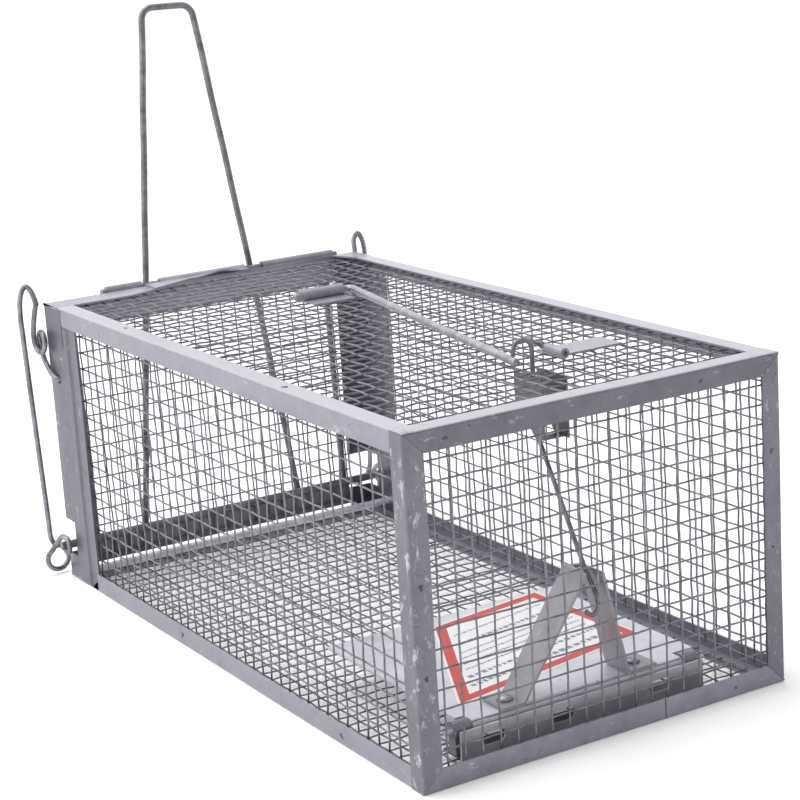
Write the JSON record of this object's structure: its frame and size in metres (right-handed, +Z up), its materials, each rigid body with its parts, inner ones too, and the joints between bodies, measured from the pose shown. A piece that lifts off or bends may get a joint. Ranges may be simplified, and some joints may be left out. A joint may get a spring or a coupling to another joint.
{
  "type": "live catch cage trap",
  "caption": "Wire mesh live catch trap with folded sheet frame, sprung top-hung door with a tall wire lever, hold-down bar, trip wire latch and tilting bait pedal.",
  "frame": {"origin": "on the floor, under the middle of the whole outline with the lever", "axes": "+X along the box from the door end to the pedal end, +Y across it, +Z up"},
  "size_m": [0.2805, 0.1568, 0.2183],
  "materials": {
    "galvanised_sheet": "dull galvanised",
    "mesh_wire": "galvanised woven wire",
    "formed_wire": "zinc plated wire",
    "spring_wire": "zinc plated spring wire",
    "bright_rod": "bright drawn",
    "pedal_sheet": "bright galvanised",
    "label_paper": null
  },
  "bodies": {
    "cage": {"front_post_left": "galvanised_sheet", "front_post_right": "galvanised_sheet", "front_rail_top": "galvanised_sheet", "front_rail_bottom_left": "galvanised_sheet", "front_rail_bottom_right": "galvanised_sheet", "rail_top_left": "galvanised_sheet", "rail_top_right": "galvanised_sheet", "rail_bottom_left": "galvanised_sheet", "rail_bottom_right": "galvanised_sheet", "door_post_left": "galvanised_sheet", "door_post_right": "galvanised_sheet", "door_header": "galvanised_sheet", "door_sill": "galvanised_sheet", "floor_rod": "bright_rod", "mesh_top": "mesh_wire", "mesh_bottom": "mesh_wire", "mesh_left": "mesh_wire", "mesh_right": "mesh_wire", "mesh_front": "mesh_wire", "hinge_strap": "galvanised_sheet", "bar_clip": "galvanised_sheet", "latch_clip": "galvanised_sheet", "trigger_guide": "galvanised_sheet", "pedal_base": "galvanised_sheet", "pedal_rod": "bright_rod", "pedal_lug_left": "galvanised_sheet", "pedal_lug_right": "galvanised_sheet", "spring_coil_left": "spring_wire", "spring_coil_right": "spring_wire"},
    "door": {"hinge_rod": "formed_wire", "door_top_strip": "galvanised_sheet", "door_kick_strip": "galvanised_sheet", "door_side_rod_left": "formed_wire", "door_side_rod_right": "formed_wire", "door_pin_bar": "formed_wire", "mesh_door": "mesh_wire", "door_lever": "formed_wire", "spring_arm_left": "spring_wire", "spring_arm_right": "spring_wire"},
    "hold_bar": {"hold_bar": "formed_wire"},
    "latch": {"latch_hook": "formed_wire", "trip_wire": "formed_wire"},
    "pedal": {"pedal_plate": "pedal_sheet", "pedal_bracket": "pedal_sheet", "pedal_rivets": "bright_rod", "pedal_label": "label_paper"}
  },
  "joints": [
    {"name": "door_swing", "type": "hinge", "parent": "cage", "child": "door", "pos_m": [-0.1273, 0, 0.1099], "axis": [0, 1, 0], "range_deg": [0, 90], "stiffness_Nm_per_rad": 0.12, "springref_deg": -68.75},
    {"name": "hold_bar_lift", "type": "hinge", "parent": "cage", "child": "hold_bar", "pos_m": [-0.0503, 0.012, 0.112], "axis": [0, -1, 0], "range_deg": [0, 110]},
    {"name": "pedal_tilt", "type": "hinge", "parent": "cage", "child": "pedal", "pos_m": [0.1267, 0, 0.0112], "axis": [0, -1, 0], "range_deg": [0, 5]},
    {"name": "latch_swing", "type": "hinge", "parent": "cage", "child": "latch", "pos_m": [0.0917, 0.0185, 0.1115], "axis": [1, 0, 0], "range_deg": [-2, 0]}
  ],
  "couplings": [
    {"joint": "latch_swing", "follows": "pedal_tilt", "ratio": -0.4}
  ]
}
